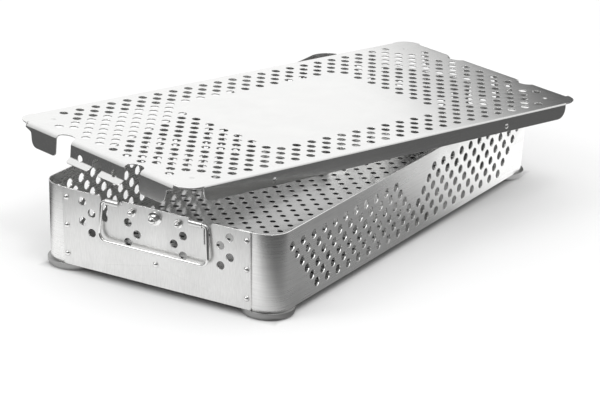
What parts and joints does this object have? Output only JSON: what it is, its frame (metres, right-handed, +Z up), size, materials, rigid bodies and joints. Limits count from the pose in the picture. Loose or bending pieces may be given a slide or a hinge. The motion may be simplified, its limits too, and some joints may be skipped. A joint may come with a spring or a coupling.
{
  "type": "sterilization basket",
  "caption": "Perforated stainless sterilization basket with hinged wire handles, round feet and a loose flanged lid lying askew on its rim.",
  "frame": {"origin": "on the ground under the middle of the basket, which is the bottom centre of the part within the lid's small offset", "axes": "+X along the basket towards its rear end, +Y across it to its left side, +Z up"},
  "size_m": [0.5724, 0.3804, 0.1198],
  "materials": {
    "brushed_sheet": "brushed",
    "lid_sheet": "satin",
    "handle_wire": "polished",
    "polished_fasteners": "polished",
    "feet": "satin"
  },
  "bodies": {
    "basket": {"side_wall_right": "brushed_sheet", "side_wall_left": "brushed_sheet", "floor_panel": "brushed_sheet", "end_plate_front": "brushed_sheet", "end_plate_rear": "brushed_sheet", "rivets_front": "polished_fasteners", "rivets_rear": "polished_fasteners", "cap_nuts_front": "polished_fasteners", "cap_nuts_rear": "polished_fasteners", "washers_front": "polished_fasteners", "washers_rear": "polished_fasteners", "snap_screws_front": "polished_fasteners", "snap_screws_rear": "polished_fasteners", "centre_nut_front": "polished_fasteners", "centre_nut_rear": "polished_fasteners", "centre_screw_front": "polished_fasteners", "centre_screw_rear": "polished_fasteners", "foot_front_right": "feet", "foot_front_left": "feet", "foot_rear_right": "feet", "foot_rear_left": "feet", "foot_screws": "polished_fasteners"},
    "front_handle": {"handle_front": "handle_wire"},
    "rear_handle": {"handle_rear": "handle_wire"},
    "lid": {"lid": "lid_sheet"}
  },
  "joints": [
    {"name": "front_handle_swing", "type": "hinge", "parent": "basket", "child": "front_handle", "pos_m": [-0.26928, 0, 0.08044], "axis": [0, 1, 0], "range_deg": [0, 120]},
    {"name": "rear_handle_swing", "type": "hinge", "parent": "basket", "child": "rear_handle", "pos_m": [0.26928, 0, 0.08044], "axis": [0, -1, 0], "range_deg": [0, 120]},
    {"name": "lid_lift", "type": "slide", "parent": "basket", "child": "lid", "axis": [0, 0, 1], "range_m": [0, 0.15]}
  ]
}
